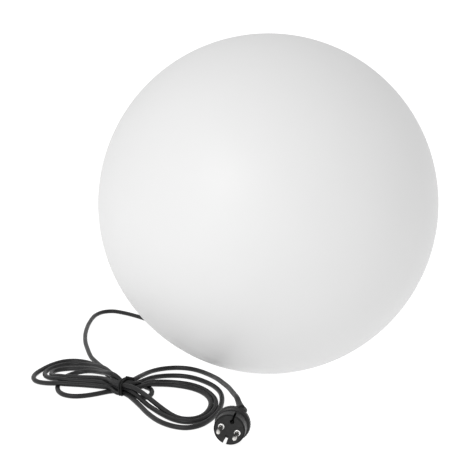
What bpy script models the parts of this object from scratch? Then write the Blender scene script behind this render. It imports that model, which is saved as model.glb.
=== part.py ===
"""A globe lamp that stands on a small sealed plinth: white shell, lampholder and bulb inside,
and a mains cord that leaves the plinth, is tied in a hank and ends in a two-pin plug.
Metres, +Z up. The origin is the middle of the plinth's foot, on the ground."""

import math

import bmesh
import bpy
from mathutils import Matrix, Vector

# Globe shell
GLOBE_RADIUS = 0.225
GLOBE_WALL = 0.0035
GLOBE_CENTRE_Z = 0.219
GLOBE_CUT_RADIUS = 0.074
COLLAR_LIP_RADIUS = 0.080
COLLAR_TOP_RADIUS = 0.055
NECK_RADIUS = 0.044
NECK_TOP_Z = 0.022
SEAL_CHAMFER = 0.004

# Plinth
FIT = 0.0003
FOOT_RADIUS = 0.045
WELL_RADIUS = 0.036
FLANGE_RADIUS = 0.055
FLANGE_Z = 0.0031
TOWER_RADIUS = 0.039
PLATE_Z = 0.052
PLATE_TOP_Z = 0.055
BASE_SCREW_CIRCLE = 0.051
SCREW_RADIUS = 0.0020
SCREW_HOLE_RADIUS = 0.0023

# Cable gland, on the axis, under the plinth's top plate
GLAND_THREAD_RADIUS = 0.0079
GLAND_HOLE_RADIUS = 0.0082
GLAND_FLATS = 0.022

# Lampholder and its bracket
BOSS_X = 0.028
BOSS_TOP_Z = 0.063
BRACKET_TOP_Z = 0.090
BRACKET_SHEET = 0.002
BRACKET_WIDTH = 0.018
HOLDER_Z = BRACKET_TOP_Z + FIT
HOLDER_RADIUS = 0.0205

# Bulb, with a 27 mm screw cap
CAP_RADIUS = 0.0132
BULB_TIP_Z = 0.1182
BULB_RADIUS = 0.030
BULB_LENGTH = 0.110

# Cord: round rubber flex
CORD_RADIUS = 0.0031
CORD_LIE = CORD_RADIUS + 0.0001
CORD_EXIT_ANGLE = math.radians(132)
CORD_STEP = 0.0165
CORE_RADIUS = 0.0011
SHEATH_END_Z = 0.068

# Hank and its tie
HANK_LOW = 0.0018
HANK_HIGH = 0.0195
TIE_PLACE = (-0.184, -0.133)
TIE_ANGLE = math.radians(-20)
WAIST_HALF_WIDTH = 0.011
WAIST_HALF_LENGTH = 0.005
TIE_WIDTH = 0.005
TIE_THICKNESS = 0.0013

# Plug: flat front, two pins 19 mm apart, standing on its rim
PLUG_PLACE = (-0.050, -0.312, 0.0208)
PLUG_YAW = math.radians(-10.8)
PLUG_ROLL = math.radians(19)
PLUG_DRUM_RADIUS = 0.018
PLUG_RING_RADIUS = 0.0206
PLUG_DEPTH = 0.033
CARRIER_RADIUS = 0.0166
CARRIER_DEPTH = 0.004
PIN_RADIUS = 0.0024
PIN_LENGTH = 0.019
PIN_SPACING = 0.019
PIN_HOLE_RADIUS = 0.0027
EARTH_HOLE_HEIGHT = 0.010
NOTCH_WIDTH = 0.0038
SLIT_WIDTH = 0.0024
SLEEVE_LENGTH = 0.0125


def clear_scene():
    for obj in list(bpy.data.objects):
        bpy.data.objects.remove(obj, do_unlink=True)


def finish(obj, colour, roughness, metallic=0.0):
    """Gives the object a material of its own, named after it."""
    mat = bpy.data.materials.new(obj.name)
    mat.use_nodes = True
    shader = mat.node_tree.nodes["Principled BSDF"]
    shader.inputs["Base Color"].default_value = (*colour, 1.0)
    shader.inputs["Roughness"].default_value = roughness
    shader.inputs["Metallic"].default_value = metallic
    obj.data.materials.clear()
    obj.data.materials.append(mat)
    return obj


def object_from(name, bm, smooth=True):
    bmesh.ops.recalc_face_normals(bm, faces=bm.faces)
    mesh = bpy.data.meshes.new(name)
    bm.to_mesh(mesh)
    bm.free()
    if smooth:
        mesh.shade_smooth()
        mesh.set_sharp_from_angle(angle=math.radians(35))
    obj = bpy.data.objects.new(name, mesh)
    bpy.context.scene.collection.objects.link(obj)
    return obj


def turned(name, profile, steps=24, looped=True):
    """A solid of revolution about Z. The profile is a list of (radius, z) points: a closed outline
    clear of the axis, or with looped=False a line that starts and ends on the axis."""
    bm = bmesh.new()
    points = [bm.verts.new((r, 0, z)) for r, z in profile]
    ends = list(zip(points, points[1:]))
    if looped:
        ends.append((points[-1], points[0]))
    edges = [bm.edges.new(pair) for pair in ends]
    bmesh.ops.spin(bm, geom=points + edges, cent=(0, 0, 0), axis=(0, 0, 1),
                   angle=2 * math.pi, steps=steps, use_merge=True)
    bmesh.ops.remove_doubles(bm, verts=bm.verts, dist=1e-6)
    return object_from(name, bm)


def arc(radius, centre_z, start, end, count):
    """Profile points of a circle centred on the axis, angles in degrees up from the equator."""
    found = []
    for i in range(count + 1):
        angle = math.radians(start + (end - start) * i / count)
        found.append((radius * math.cos(angle), centre_z + radius * math.sin(angle)))
    return [(0.0 if r < 1e-7 else r, z) for r, z in found]


def box(name, low, high):
    bm = bmesh.new()
    bmesh.ops.create_cube(bm, size=1.0)
    size = Vector(high) - Vector(low)
    middle = (Vector(high) + Vector(low)) / 2
    bmesh.ops.transform(bm, matrix=Matrix.Translation(middle) @ Matrix.Diagonal((*size, 1)),
                        verts=bm.verts)
    return object_from(name, bm, smooth=False)


def rod(name, start, end, radius, end_radius=None, sides=16):
    """A round bar from start to end, tapered when end_radius is given."""
    start, end = Vector(start), Vector(end)
    bm = bmesh.new()
    bmesh.ops.create_cone(bm, cap_ends=True, segments=sides, radius1=radius,
                          radius2=radius if end_radius is None else end_radius,
                          depth=(end - start).length)
    turn = Vector((0, 0, 1)).rotation_difference(end - start).to_matrix().to_4x4()
    bmesh.ops.transform(bm, matrix=Matrix.Translation((start + end) / 2) @ turn, verts=bm.verts)
    return object_from(name, bm)


def hexagon_nut(name, flats, low, high, hole_radius, sides=24):
    """A ring with a round hole and a hexagonal outside, across flats as given."""
    bm = bmesh.new()
    rings = []
    for z in (low, high):
        for outside in (False, True):
            ring = []
            for i in range(sides):
                angle = 2 * math.pi * i / sides
                nearest_flat = math.remainder(angle - math.radians(30), math.radians(60))
                radius = flats / 2 / math.cos(nearest_flat) if outside else hole_radius
                ring.append(bm.verts.new((radius * math.cos(angle), radius * math.sin(angle), z)))
            rings.append(ring)
    inner_low, outer_low, inner_high, outer_high = rings
    for one, other in ((inner_low, outer_low), (outer_low, outer_high),
                       (outer_high, inner_high), (inner_high, inner_low)):
        for i in range(sides):
            j = (i + 1) % sides
            bm.faces.new((one[i], one[j], other[j], other[i]))
    return object_from(name, bm)


def combine(obj, tool, operation):
    """Joins or cuts obj with tool by a Boolean that stays on it."""
    tool.hide_render = True
    tool.display_type = "WIRE"
    tool.parent = obj.parent
    modifier = obj.modifiers.new(tool.name, "BOOLEAN")
    modifier.operation = operation
    modifier.object = tool
    modifier.solver = "EXACT"
    return obj


def polar(radius, angle, z=0.0):
    return Vector((radius * math.cos(angle), radius * math.sin(angle), z))


# Globe: one thin white shell with a thick collar round the opening in its bottom.

def globe_shell(screw_angles):
    cut_angle = -math.degrees(math.acos(GLOBE_CUT_RADIUS / GLOBE_RADIUS))
    inner_radius = GLOBE_RADIUS - GLOBE_WALL
    cut_z = GLOBE_CENTRE_Z - math.sqrt(GLOBE_RADIUS**2 - GLOBE_CUT_RADIUS**2)
    lip_angle = -math.degrees(math.acos(COLLAR_LIP_RADIUS / inner_radius))
    profile = arc(GLOBE_RADIUS, GLOBE_CENTRE_Z, 90, cut_angle, 20)
    profile += [(NECK_RADIUS + SEAL_CHAMFER, cut_z), (NECK_RADIUS, cut_z + SEAL_CHAMFER),
                (NECK_RADIUS, NECK_TOP_Z), (COLLAR_TOP_RADIUS, NECK_TOP_Z), (0.060, 0.016)]
    profile += arc(inner_radius, GLOBE_CENTRE_Z, lip_angle, 90, 14)
    shell = turned("globe_shell", profile, steps=48, looped=False)
    for i, angle in enumerate(screw_angles):
        foot = polar(BASE_SCREW_CIRCLE, angle, cut_z - 0.001)
        hole = rod(f"globe_pilot_{i}", foot, foot + Vector((0, 0, 0.0125)), SCREW_HOLE_RADIUS, sides=12)
        combine(shell, hole, "DIFFERENCE")
    return finish(shell, (0.86, 0.86, 0.85), 0.45)


# Plinth: a black cup that closes the globe's neck, with a foot ring, a flange for four screws
# and a well underneath in which the cord turns down from its gland.

def base_cup(screw_angles):
    flange_top = FLANGE_Z + 0.003
    profile = [(WELL_RADIUS, 0), (FOOT_RADIUS, 0), (FOOT_RADIUS, FLANGE_Z),
               (FLANGE_RADIUS, FLANGE_Z), (FLANGE_RADIUS, flange_top),
               (NECK_RADIUS - FIT, flange_top), (NECK_RADIUS - FIT, NECK_TOP_Z),
               (TOWER_RADIUS, NECK_TOP_Z + 0.004), (TOWER_RADIUS, PLATE_TOP_Z),
               (GLAND_HOLE_RADIUS, PLATE_TOP_Z), (GLAND_HOLE_RADIUS, PLATE_Z), (WELL_RADIUS, PLATE_Z)]
    cup = turned("base_cup", profile, steps=40)
    for side in (-1, 1):
        foot = Vector((side * BOSS_X, 0, PLATE_TOP_Z - 0.001))
        top = Vector((side * BOSS_X, 0, BOSS_TOP_Z))
        boss = rod(f"boss_{side}", foot, top, 0.005)
        combine(cup, boss, "UNION")
        pilot = rod(f"boss_pilot_{side}", foot + Vector((0, 0, 0.002)), top + Vector((0, 0, 0.001)),
                    SCREW_HOLE_RADIUS, sides=12)
        combine(cup, pilot, "DIFFERENCE")
    for i, angle in enumerate(screw_angles):
        foot = polar(BASE_SCREW_CIRCLE, angle)
        hole = rod(f"flange_hole_{i}", foot, foot + Vector((0, 0, 0.008)), SCREW_HOLE_RADIUS, sides=12)
        combine(cup, hole, "DIFFERENCE")
    notch = box("cord_notch", (0.030, -0.004, -0.002), (0.060, 0.004, 0.0067))
    notch.rotation_euler.z = CORD_EXIT_ANGLE
    combine(cup, notch, "DIFFERENCE")
    return finish(cup, (0.02, 0.02, 0.02), 0.5)


def base_seal():
    """O-ring in the corner between the flange, the cup's wall and the neck's chamfer."""
    minor = 0.00115
    centre_r = NECK_RADIUS - FIT + 0.0002 + minor
    centre_z = FLANGE_Z + 0.003 + 0.0002 + minor
    profile = []
    for i in range(8):
        angle = 2 * math.pi * i / 8
        profile.append((centre_r + minor * math.cos(angle), centre_z + minor * math.sin(angle)))
    return finish(turned("base_seal", profile, steps=36), (0.03, 0.03, 0.03), 0.7)


def screw(name, place, head_low, head_high, tip, head_radius):
    """A pan-head screw on a vertical axis. The head is below the tip when head_low is below it."""
    x, y = place
    if tip > head_high:
        profile = [(0, head_low), (head_radius * 0.7, head_low), (head_radius, head_low + 0.0008),
                   (head_radius, head_high), (SCREW_RADIUS, head_high), (SCREW_RADIUS, tip), (0, tip)]
    else:
        profile = [(0, head_high), (head_radius * 0.7, head_high), (head_radius, head_high - 0.0008),
                   (head_radius, head_low), (SCREW_RADIUS, head_low), (SCREW_RADIUS, tip), (0, tip)]
    obj = turned(name, profile, steps=12, looped=False)
    obj.location = (x, y, 0)
    return finish(obj, (0.55, 0.55, 0.56), 0.35, 1.0)


# Cable gland: its body is clamped through the plate, and its dome nut squeezes a rubber insert.

def cable_gland():
    body = hexagon_nut("gland_body", GLAND_FLATS, 0.0456, 0.0506, 0.0052)
    thread_profile = [(0.0052, 0.036), (GLAND_THREAD_RADIUS, 0.036), (GLAND_THREAD_RADIUS, 0.063),
                      (0.0052, 0.063)]
    combine(body, turned("gland_thread", thread_profile), "UNION")
    finish(body, (0.03, 0.03, 0.03), 0.45)

    washer = turned("gland_washer", [(0.0083, 0.0509), (0.0115, 0.0509), (0.0115, 0.0517),
                                     (0.0083, 0.0517)])
    finish(washer, (0.03, 0.03, 0.03), 0.7)

    finish(hexagon_nut("gland_locknut", GLAND_FLATS, PLATE_TOP_Z + FIT, 0.0603, GLAND_HOLE_RADIUS),
           (0.03, 0.03, 0.03), 0.45)

    insert = turned("gland_insert", [(0.0034, 0.0320), (0.0074, 0.0320), (0.0076, 0.0357),
                                     (0.0034, 0.0357)], steps=20)
    finish(insert, (0.05, 0.05, 0.05), 0.7)

    nut_profile = [(0.0034, 0.0302), (0.0060, 0.0302), (0.0095, 0.0325), (0.0110, 0.0370),
                   (0.0110, 0.0453), (0.0082, 0.0453), (0.0082, 0.0317), (0.0034, 0.0317)]
    finish(turned("gland_dome_nut", nut_profile, steps=20), (0.03, 0.03, 0.03), 0.45)


# Lampholder: a bent steel bracket carries it on a hollow threaded stem with a nut.

def holder_bracket():
    half_width = BRACKET_WIDTH / 2
    foot_low = BOSS_TOP_Z + FIT
    leg = 0.020
    outline = [(-0.034, foot_low), (-leg, foot_low), (-leg, BRACKET_TOP_Z - BRACKET_SHEET),
               (leg, BRACKET_TOP_Z - BRACKET_SHEET), (leg, foot_low), (0.034, foot_low),
               (0.034, foot_low + BRACKET_SHEET), (leg + BRACKET_SHEET, foot_low + BRACKET_SHEET),
               (leg + BRACKET_SHEET, BRACKET_TOP_Z), (-leg - BRACKET_SHEET, BRACKET_TOP_Z),
               (-leg - BRACKET_SHEET, foot_low + BRACKET_SHEET), (-0.034, foot_low + BRACKET_SHEET)]
    bm = bmesh.new()
    face = bm.faces.new([bm.verts.new((x, -half_width, z)) for x, z in outline])
    pushed = bmesh.ops.extrude_face_region(bm, geom=[face])
    moved = [v for v in pushed["geom"] if isinstance(v, bmesh.types.BMVert)]
    bmesh.ops.translate(bm, verts=moved, vec=(0, BRACKET_WIDTH, 0))
    bracket = object_from("holder_bracket", bm, smooth=False)
    stem_hole = rod("bracket_stem_hole", (0, 0, 0.080), (0, 0, 0.095), 0.0053)
    combine(bracket, stem_hole, "DIFFERENCE")
    for side in (-1, 1):
        hole = rod(f"bracket_hole_{side}", (side * BOSS_X, 0, 0.060), (side * BOSS_X, 0, 0.070),
                   SCREW_HOLE_RADIUS, sides=12)
        combine(bracket, hole, "DIFFERENCE")
    return finish(bracket, (0.60, 0.60, 0.62), 0.35, 1.0)


def lampholder():
    stem_profile = [(0.0036, 0.082), (0.0049, 0.082), (0.0049, 0.0985), (0.0036, 0.0985)]
    finish(turned("holder_stem", stem_profile, steps=20), (0.70, 0.60, 0.35), 0.35, 1.0)
    finish(hexagon_nut("stem_nut", 0.014, 0.0836, 0.0876, 0.0052), (0.70, 0.60, 0.35), 0.35, 1.0)

    cap_profile = [(0.0052, HOLDER_Z), (0.0130, HOLDER_Z), (0.0185, 0.0975), (HOLDER_RADIUS, 0.104),
                   (HOLDER_RADIUS, 0.114), (0.0185, 0.114), (0.0185, 0.1045), (0.0130, 0.0933),
                   (0.0052, 0.0933)]
    finish(turned("holder_cap", cap_profile, steps=32), (0.02, 0.02, 0.02), 0.35)

    core = turned("holder_core", [(0, 0.1048), (0.0178, 0.1048), (0.0178, 0.1146), (0, 0.1146)],
                  steps=28, looped=False)
    finish(core, (0.80, 0.78, 0.72), 0.4)

    skirt_profile = [(0.0181, 0.1149), (0.0181, 0.1143), (HOLDER_RADIUS, 0.1143),
                     (HOLDER_RADIUS, 0.140), (0.0195, 0.142), (0.0172, 0.142), (0.0172, 0.1149)]
    finish(turned("holder_skirt", skirt_profile, steps=32), (0.02, 0.02, 0.02), 0.35)

    shell_profile = [(0.0100, 0.1149), (0.0144, 0.1149), (0.0144, 0.138), (0.0152, 0.139),
                     (0.0148, 0.1396), (0.0136, 0.138), (0.0136, 0.1157), (0.0100, 0.1157)]
    finish(turned("holder_screw_shell", shell_profile, steps=28), (0.80, 0.65, 0.30), 0.3, 1.0)

    contact = turned("holder_centre_contact", [(0, 0.1149), (0.0050, 0.1149), (0.0042, 0.1163),
                                               (0.0025, 0.1179), (0, 0.1179)], steps=16, looped=False)
    finish(contact, (0.80, 0.65, 0.30), 0.3, 1.0)

    for side, word in ((-1, "left"), (1, "right")):
        terminal = rod(f"terminal_screw_{word}", (side * 0.011, 0, 0.1020), (side * 0.011, 0, 0.1045),
                       0.0026, sides=12)
        finish(terminal, (0.80, 0.65, 0.30), 0.3, 1.0)


# Bulb: screw cap with its insulator and tip, white housing, frosted diffuser, board of LEDs.

def bulb():
    tip = turned("bulb_tip", [(0, BULB_TIP_Z), (0.0030, 0.1186), (0.0045, 0.1200), (0, 0.1200)],
                 steps=16, looped=False)
    finish(tip, (0.75, 0.75, 0.73), 0.3, 1.0)
    insulator = turned("bulb_insulator", [(0, 0.1203), (0.0050, 0.1203), (0.0110, 0.1243), (0, 0.1243)],
                       steps=20, looped=False)
    finish(insulator, (0.02, 0.02, 0.02), 0.2)
    cap_profile = [(0.0100, 0.1246), (0.0118, 0.1246), (CAP_RADIUS, 0.1262), (CAP_RADIUS, 0.1460),
                   (0.0124, 0.1460), (0.0124, 0.1266), (0.0100, 0.1254)]
    finish(turned("bulb_cap", cap_profile, steps=28), (0.75, 0.75, 0.73), 0.3, 1.0)
    housing_profile = [(0, 0.1463), (0.0136, 0.1463), (0.0160, 0.1520), (0.0240, 0.1640),
                       (0.0290, 0.1720), (0, 0.1720)]
    finish(turned("bulb_housing", housing_profile, steps=28, looped=False), (0.85, 0.85, 0.85), 0.4)

    rim_z = 0.1723
    height = BULB_TIP_Z + BULB_LENGTH - rim_z
    profile = []
    for radius, rise, angles in ((BULB_RADIUS, height, range(90, -1, -9)),
                                 (BULB_RADIUS - 0.0012, height - 0.0012, range(0, 91, 10))):
        for angle in map(math.radians, angles):
            profile.append((max(0.0, radius * math.cos(angle)), rim_z + rise * math.sin(angle)))
    profile[0] = (0.0, profile[0][1])
    profile[-1] = (0.0, profile[-1][1])
    diffuser = turned("bulb_diffuser", profile, steps=28, looped=False)
    finish(diffuser, (0.92, 0.92, 0.90), 0.5)
    board = turned("led_board", [(0, 0.1723), (0.0230, 0.1723), (0.0230, 0.1738), (0, 0.1738)],
                   steps=20, looped=False)
    finish(board, (0.85, 0.85, 0.80), 0.5)


# Cord: the places that its lead and tail pass, in metres, from the gland to the plug.

LEAD_ROUTE = [
    (0.0000, 0.0000, 0.0299), (0.0000, 0.0000, 0.0282), (-0.0013, 0.0014, 0.0186),
    (-0.0049, 0.0054, 0.0105), (-0.0103, 0.0114, 0.0051), (-0.0167, 0.0186, CORD_LIE),
    (-0.040, 0.0445, CORD_LIE),
    (-0.080, 0.089, CORD_LIE), (-0.125, 0.139, CORD_LIE), (-0.165, 0.183, CORD_LIE),
    (-0.199, 0.219, CORD_LIE), (-0.219, 0.236, CORD_LIE), (-0.236, 0.245, CORD_LIE),
    (-0.250, 0.241, CORD_LIE), (-0.260, 0.224, CORD_LIE), (-0.266, 0.184, CORD_LIE),
    (-0.266, 0.130, CORD_LIE), (-0.261, 0.084, CORD_LIE), (-0.252, 0.041, CORD_LIE),
    (-0.242, 0.004, CORD_LIE), (-0.234, -0.014, CORD_LIE), (-0.2282, -0.0270, CORD_LIE),
]
TAIL_ROUTE = [
    (-0.1585, -0.0722, 0.0060), (-0.156, -0.0643, 0.0052), (-0.150, -0.051, 0.0038),
    (-0.139, -0.0405, CORD_LIE),
    (-0.118, -0.036, CORD_LIE), (-0.100, -0.043, CORD_LIE), (-0.083, -0.063, 0.0042),
    (-0.072, -0.088, 0.0075), (-0.065, -0.115, 0.0130), (-0.058, -0.150, 0.0195),
    (-0.051, -0.193, 0.0288), (-0.047, -0.226, 0.0352), (-0.0434, -0.2550, 0.0409),
    (-0.0416, -0.2675, 0.0429), (-0.0404, -0.2738, 0.0423), (-0.0396, -0.2775, 0.0412),
]


def smooth_route(route, step):
    """Points about step apart on a smooth curve (Catmull-Rom) through the route's points."""
    places = [Vector(p) for p in route]
    places = [2 * places[0] - places[1]] + places + [2 * places[-1] - places[-2]]
    found = []
    for a, b, c, d in zip(places, places[1:], places[2:], places[3:]):
        count = max(1, round((c - b).length / step))
        for i in range(count):
            t = i / count
            found.append(0.5 * (2 * b + (c - a) * t + (2 * a - 5 * b + 4 * c - d) * t * t
                                + (3 * b - a - 3 * c + d) * t**3))
    return found + [places[-2]]


def tube(name, route, radius, step, bevel_resolution=2):
    """A capped round tube along a smooth curve through the route."""
    points = smooth_route(route, step)
    curve = bpy.data.curves.new(name, "CURVE")
    curve.dimensions = "3D"
    curve.bevel_depth = radius
    curve.bevel_resolution = bevel_resolution
    curve.use_fill_caps = True
    spline = curve.splines.new("POLY")
    spline.points.add(len(points) - 1)
    for place, point in zip(points, spline.points):
        point.co = (*place, 1.0)
    obj = bpy.data.objects.new(name, curve)
    bpy.context.scene.collection.objects.link(obj)
    return obj


def cord_tube(name, route):
    return finish(tube(name, route, CORD_RADIUS, CORD_STEP), (0.035, 0.035, 0.037), 0.6)


def cord_inside():
    """The end of the cord that the gland holds, and the two cores that part from it."""
    sheath = rod("cord_inside", (0, 0, 0.0304), (0, 0, SHEATH_END_Z), CORD_RADIUS, sides=12)
    finish(sheath, (0.035, 0.035, 0.037), 0.6)
    for side, word, colour in ((-1, "brown", (0.20, 0.08, 0.03)), (1, "blue", (0.03, 0.12, 0.45))):
        route = [(side * 0.0014, 0, SHEATH_END_Z + FIT), (side * 0.0015, 0, 0.080),
                 (side * 0.0015, 0, 0.099), (side * 0.0024, 0, 0.1012), (side * 0.0050, 0, 0.1024),
                 (side * 0.0080, 0, 0.1028)]
        finish(tube(f"core_{word}", route, CORE_RADIUS, 0.004, bevel_resolution=1), colour, 0.5)


# Hank: the outer shape of the cord's two lobes of turns, as one flat solid pinched by its tie.

LEFT_LOBE = [(-0.194, -0.108), (-0.206, -0.074), (-0.214, -0.050), (-0.2230, -0.0252),
             (-0.2330, -0.0298), (-0.238, -0.021), (-0.255, -0.005),
             (-0.275, -0.001), (-0.292, -0.014), (-0.305, -0.040), (-0.312, -0.070), (-0.311, -0.088),
             (-0.303, -0.100), (-0.284, -0.107), (-0.275, -0.118), (-0.272, -0.134), (-0.264, -0.149),
             (-0.248, -0.158), (-0.230, -0.155), (-0.212, -0.148)]
RIGHT_LOBE = [(-0.170, -0.165), (-0.160, -0.185), (-0.147, -0.215), (-0.130, -0.244), (-0.113, -0.258),
              (-0.096, -0.261), (-0.080, -0.251), (-0.070, -0.233), (-0.064, -0.208), (-0.063, -0.182),
              (-0.0635, -0.158), (-0.068, -0.133), (-0.074, -0.111), (-0.085, -0.094), (-0.100, -0.078),
              (-0.116, -0.068), (-0.134, -0.067), (-0.1535, -0.0743), (-0.1640, -0.0710),
              (-0.169, -0.095), (-0.170, -0.112)]


def waist_corner(along, across):
    """A corner of the hank's straight waist, measured from the tie along and across the hank."""
    ahead = Vector((math.cos(TIE_ANGLE), math.sin(TIE_ANGLE)))
    aside = Vector((-ahead.y, ahead.x))
    place = Vector(TIE_PLACE) + ahead * along * WAIST_HALF_LENGTH + aside * across * WAIST_HALF_WIDTH
    return (place.x, place.y)


def cord_hank():
    outline = [waist_corner(-1, 1), *LEFT_LOBE, waist_corner(-1, -1), waist_corner(1, -1),
               *RIGHT_LOBE, waist_corner(1, 1)]
    bm = bmesh.new()
    face = bm.faces.new([bm.verts.new((x, y, HANK_LOW)) for x, y in outline])
    pushed = bmesh.ops.extrude_face_region(bm, geom=[face])
    moved = [v for v in pushed["geom"] if isinstance(v, bmesh.types.BMVert)]
    bmesh.ops.translate(bm, verts=moved, vec=(0, 0, HANK_HIGH - HANK_LOW))
    return finish(object_from("cord_hank", bm, smooth=False), (0.035, 0.035, 0.037), 0.6)


def cord_tie():
    """A flat black strap round the hank's waist."""
    across = WAIST_HALF_WIDTH + FIT
    inner = [(-across, HANK_LOW - FIT), (across, HANK_LOW - FIT), (across, HANK_HIGH + FIT),
             (-across, HANK_HIGH + FIT)]
    outer = [(-across - TIE_THICKNESS, HANK_LOW - FIT - TIE_THICKNESS),
             (across + TIE_THICKNESS, HANK_LOW - FIT - TIE_THICKNESS),
             (across + TIE_THICKNESS, HANK_HIGH + FIT + TIE_THICKNESS),
             (-across - TIE_THICKNESS, HANK_HIGH + FIT + TIE_THICKNESS)]
    bm = bmesh.new()
    rings = []
    for along in (-TIE_WIDTH / 2, TIE_WIDTH / 2):
        rings.append([bm.verts.new((along, y, z)) for y, z in inner])
        rings.append([bm.verts.new((along, y, z)) for y, z in outer])
    inner_near, outer_near, inner_far, outer_far = rings
    for one, other in ((inner_near, outer_near), (outer_near, outer_far),
                       (outer_far, inner_far), (inner_far, inner_near)):
        for i in range(4):
            j = (i + 1) % 4
            bm.faces.new((one[i], one[j], other[j], other[i]))
    tie = object_from("cord_tie", bm, smooth=False)
    tie.location = (*TIE_PLACE, 0)
    tie.rotation_euler.z = TIE_ANGLE
    return finish(tie, (0.02, 0.02, 0.02), 0.5)


# Plug: built facing -Y about its own centre, then stood on its rim by an empty.

def on_plug(obj, stand, facing=True):
    """Parents a piece to the plug's stand. A piece turned about Z is laid along +Y first."""
    obj.parent = stand
    if facing:
        obj.rotation_euler.x = math.radians(-90)
    return obj


def plug_cutters(name, stand, depth):
    """The earth hole, the slit above it and the notch below it, cut to the given depth."""
    near = -0.002
    hole = rod(f"{name}_earth_hole", (0, near, EARTH_HOLE_HEIGHT), (0, 0.014, EARTH_HOLE_HEIGHT),
               PIN_HOLE_RADIUS, sides=14)
    slit = box(f"{name}_slit", (-SLIT_WIDTH / 2, near, EARTH_HOLE_HEIGHT),
               (SLIT_WIDTH / 2, min(depth, 0.012), 0.024))
    notch = box(f"{name}_notch", (-NOTCH_WIDTH / 2, near, -0.024), (NOTCH_WIDTH / 2, depth, -0.0074))
    return [on_plug(tool, stand, facing=False) for tool in (hole, slit, notch)]


def plug():
    stand = bpy.data.objects.new("plug_stand", None)
    bpy.context.scene.collection.objects.link(stand)
    stand.matrix_world = (Matrix.Translation(PLUG_PLACE) @ Matrix.Rotation(PLUG_YAW, 4, "Z")
                          @ Matrix.Rotation(PLUG_ROLL, 4, "Y"))

    recess = CARRIER_RADIUS + FIT
    profile = [(0, CARRIER_DEPTH + FIT), (recess, CARRIER_DEPTH + FIT), (recess, 0.0004),
               (0.0173, 0), (PLUG_DRUM_RADIUS, 0.0009), (PLUG_DRUM_RADIUS, 0.0165),
               (0.0198, 0.0170), (PLUG_RING_RADIUS, 0.0180), (PLUG_RING_RADIUS, 0.0225),
               (0.0190, 0.0245), (0.0165, 0.0280), (0.0110, 0.0315), (0, PLUG_DEPTH)]
    body = on_plug(turned("plug_body", profile, steps=36, looped=False), stand)
    outlet_angle = math.radians(15)
    outward = Vector((math.sin(outlet_angle), 0, math.cos(outlet_angle)))
    middle = Vector((0, 0.025, 0))
    lug = rod("plug_lug", middle + outward * 0.008, middle + outward * 0.0215, 0.0062, 0.0055, sides=18)
    combine(body, on_plug(lug, stand, facing=False), "UNION")
    cord_end = Vector(TAIL_ROUTE[-1])
    along = (cord_end - Vector(TAIL_ROUTE[-2])).normalized()
    sleeve = rod("plug_sleeve", cord_end + along * SLEEVE_LENGTH, cord_end + along * FIT,
                 0.0050, 0.0040, sides=14)
    combine(body, sleeve, "UNION")
    sleeve.parent = None
    for tool in plug_cutters("body", stand, 0.023):
        combine(body, tool, "DIFFERENCE")
    for side in (-1, 1):
        place = Vector((side * PIN_SPACING / 2, 0, 0))
        socket = rod(f"pin_socket_{side}", place, place + Vector((0, 0.0108, 0)), PIN_HOLE_RADIUS,
                     sides=14)
        combine(body, on_plug(socket, stand, facing=False), "DIFFERENCE")
    finish(body, (0.03, 0.03, 0.03), 0.4)

    carrier_profile = [(0, 0), (CARRIER_RADIUS, 0), (CARRIER_RADIUS, CARRIER_DEPTH), (0, CARRIER_DEPTH)]
    carrier = on_plug(turned("plug_carrier", carrier_profile, steps=36, looped=False), stand)
    for tool in plug_cutters("carrier", stand, 0.006):
        combine(carrier, tool, "DIFFERENCE")
    for side in (-1, 1):
        place = Vector((side * PIN_SPACING / 2, -0.002, 0))
        hole = rod(f"carrier_hole_{side}", place, place + Vector((0, 0.008, 0)), PIN_HOLE_RADIUS,
                   sides=14)
        combine(carrier, on_plug(hole, stand, facing=False), "DIFFERENCE")
    finish(carrier, (0.03, 0.03, 0.03), 0.35)

    for side, word in ((-1, "left"), (1, "right")):
        place = (side * PIN_SPACING / 2, 0, 0)
        pin_profile = [(0, -PIN_LENGTH), (0.0011, -0.0188), (0.0020, -0.0181), (PIN_RADIUS, -0.0170),
                       (PIN_RADIUS, 0.0104), (0, 0.0104)]
        pin = on_plug(turned(f"plug_pin_{word}", pin_profile, steps=14, looped=False), stand)
        pin.location = place
        finish(pin, (0.80, 0.80, 0.80), 0.2, 1.0)
        collar_profile = [(PIN_HOLE_RADIUS, -0.0016), (0.0029, -0.0016), (0.0038, -0.0006),
                          (0.0038, -FIT), (PIN_HOLE_RADIUS, -FIT)]
        collar = on_plug(turned(f"pin_collar_{word}", collar_profile, steps=18), stand)
        collar.location = place
        finish(collar, (0.85, 0.85, 0.85), 0.2, 1.0)


def main():
    clear_scene()
    screw_angles = [CORD_EXIT_ANGLE + math.radians(45 + 90 * i) for i in range(4)]
    globe_shell(screw_angles)
    base_cup(screw_angles)
    base_seal()
    for i, angle in enumerate(screw_angles):
        place = polar(BASE_SCREW_CIRCLE, angle)
        screw(f"base_screw_{i + 1}", (place.x, place.y), 0.0009, FLANGE_Z - FIT, 0.0170, 0.0036)
    cable_gland()
    holder_bracket()
    foot_top = BOSS_TOP_Z + FIT + BRACKET_SHEET
    for side, word in ((-1, "left"), (1, "right")):
        screw(f"bracket_screw_{word}", (side * BOSS_X, 0), foot_top + FIT, foot_top + FIT + 0.0022,
              BOSS_TOP_Z - 0.0065, 0.0038)
    lampholder()
    bulb()
    cord_inside()
    cord_tube("cord_lead", LEAD_ROUTE)
    cord_hank()
    cord_tie()
    cord_tube("cord_tail", TAIL_ROUTE)
    plug()


main()
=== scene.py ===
import math

import bmesh
import bpy
import numpy as np
from mathutils import Matrix, Vector


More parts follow.
